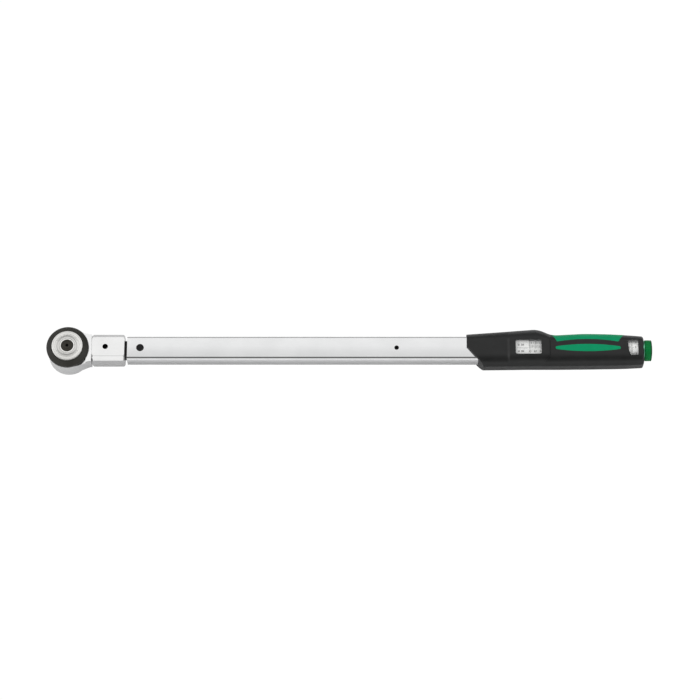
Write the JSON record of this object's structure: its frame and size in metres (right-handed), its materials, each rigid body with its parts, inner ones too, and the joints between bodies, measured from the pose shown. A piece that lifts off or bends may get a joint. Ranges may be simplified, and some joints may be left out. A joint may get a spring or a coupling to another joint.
{
  "type": "click torque wrench",
  "caption": "Click-type torque wrench with chromed rectangular tube, reversible square-drive ratchet insert, two-colour handle with scale windows and green setting knob.",
  "frame": {"origin": "on the drive axis, in the plane of the shoulder that the drive square grows from", "axes": "+X along the tube to the setting knob, +Z out of the face with the scale windows, so the drive square points to -Z"},
  "size_m": [0.6601, 0.0456, 0.0513],
  "materials": {
    "chromed_tube": "satin chrome over drawn steel",
    "chromed_block": "satin chrome over forged steel",
    "chromed_head": "satin chrome over forged steel",
    "chromed_drive": "matt chrome",
    "brushed_disc": "turned face with engraved rings",
    "knurled_black_ring": "dark knurled ring, semi-gloss",
    "black_button": "semi-gloss",
    "blackened_steel": "black oxide",
    "spring_steel": "as drawn",
    "bright_steel": "machined",
    "brass": "machined",
    "black_rubber": "matt",
    "black_plastic": "fine-grained moulded plastic",
    "green_soft_plastic": "soft-touch moulded inlay",
    "green_plastic": "moulded plastic, semi-matt",
    "white_plastic": "printed scale",
    "clear_window": "clear plastic",
    "satin_ring": "satin ring"
  },
  "bodies": {
    "wrench": {"tube": "chromed_tube", "neck_seal": "black_rubber", "pivot_pin": "blackened_steel", "trip_cam_pin": "bright_steel", "roll_pin": "spring_steel", "rear_bearing": "bright_steel", "handle_sleeve": "black_plastic", "grip_inlay_far": "green_soft_plastic", "grip_inlay_top": "green_soft_plastic", "grip_inlay_under": "green_soft_plastic", "scale_plate": "white_plastic", "main_lens": "clear_window", "fine_lens": "clear_window", "sleeve_screws": "blackened_steel", "end_ring": "satin_ring"},
    "lever": {"fixture_block": "chromed_block", "head_lever": "blackened_steel", "pivot_bush": "bright_steel", "bending_bar": "spring_steel", "bar_screws": "blackened_steel", "ratchet_body": "chromed_head", "pawl_pin": "bright_steel", "lock_pin_spring": "spring_steel"},
    "lock_pin": {"insert_lock_pin": "blackened_steel"},
    "drive": {"drive_anvil": "chromed_drive", "face_disc": "brushed_disc", "anvil_circlip": "spring_steel", "button_spring": "spring_steel"},
    "button": {"quick_release_button": "black_button"},
    "ball": {"lock_ball": "bright_steel"},
    "ring": {"reversing_ring": "knurled_black_ring", "shift_peg": "bright_steel"},
    "pawl": {"pawl": "bright_steel"},
    "cam": {"trip_cam": "bright_steel"},
    "spindle": {"spindle": "bright_steel", "thrust_washer": "brass", "spindle_clip": "spring_steel", "fine_scale_drum": "white_plastic"},
    "slider": {"spindle_nut": "brass", "draw_bar": "bright_steel", "support_slider": "bright_steel", "roller_pin": "bright_steel", "scale_strip": "white_plastic"},
    "roller": {"support_roller": "bright_steel"},
    "knob": {"knob": "green_plastic", "knob_hub": "blackened_steel", "knob_cap": "green_plastic"}
  },
  "joints": [
    {"name": "head_pivot", "type": "hinge", "parent": "wrench", "child": "lever", "pos_m": [0.0788, 0, 0.0185], "axis": [0, 0, 1], "range_deg": [0, 2], "stiffness_Nm_per_rad": 400, "deforming": ["bending_bar"]},
    {"name": "drive_spin", "type": "hinge", "parent": "lever", "child": "drive", "pos_m": [0, 0, 0], "axis": [0, 0, 1], "continuous": true},
    {"name": "release_button", "type": "slide", "parent": "drive", "child": "button", "axis": [0, 0, -1], "range_m": [0, 0.003], "stiffness_N_per_m": 700, "springref_m": -0.001, "deforming": ["button_spring"]},
    {"name": "lock_ball_slide", "type": "slide", "parent": "drive", "child": "ball", "axis": [0, -1, 0], "range_m": [-0.0012, 0]},
    {"name": "reversing_turn", "type": "hinge", "parent": "lever", "child": "ring", "pos_m": [0, 0, 0.027], "axis": [0, 0, 1], "range_deg": [0, 40]},
    {"name": "pawl_rock", "type": "hinge", "parent": "lever", "child": "pawl", "pos_m": [0.0188, 0, 0.0185], "axis": [0, 0, 1], "range_deg": [-12, 0]},
    {"name": "lock_pin_press", "type": "slide", "parent": "lever", "child": "lock_pin", "axis": [0, 0, -1], "range_m": [0, 0.0035], "stiffness_N_per_m": 500, "springref_m": -0.001, "deforming": ["lock_pin_spring"]},
    {"name": "trip_cam_turn", "type": "hinge", "parent": "wrench", "child": "cam", "pos_m": [0.199, 0.006, 0.0185], "axis": [0, 0, 1], "range_deg": [0, 20]},
    {"name": "setting_turn", "type": "hinge", "parent": "wrench", "child": "spindle", "pos_m": [0.6, 0, 0.0185], "axis": [1, 0, 0], "range_deg": [-5760, 5760]},
    {"name": "slider_travel", "type": "slide", "parent": "wrench", "child": "slider", "axis": [1, 0, 0], "range_m": [-0.024, 0.024]},
    {"name": "roller_spin", "type": "hinge", "parent": "slider", "child": "roller", "pos_m": [0.262, 0.003, 0.0185], "axis": [0, 0, 1], "continuous": true},
    {"name": "knob_pull", "type": "slide", "parent": "spindle", "child": "knob", "axis": [1, 0, 0], "range_m": [0, 0.005]}
  ],
  "couplings": [
    {"joint": "lock_ball_slide", "follows": "release_button", "ratio": -0.4},
    {"joint": "pawl_rock", "follows": "reversing_turn", "ratio": -0.3},
    {"joint": "trip_cam_turn", "follows": "head_pivot", "ratio": 10},
    {"joint": "setting_turn", "follows": "slider_travel", "rad_per_m": 4188.8}
  ]
}
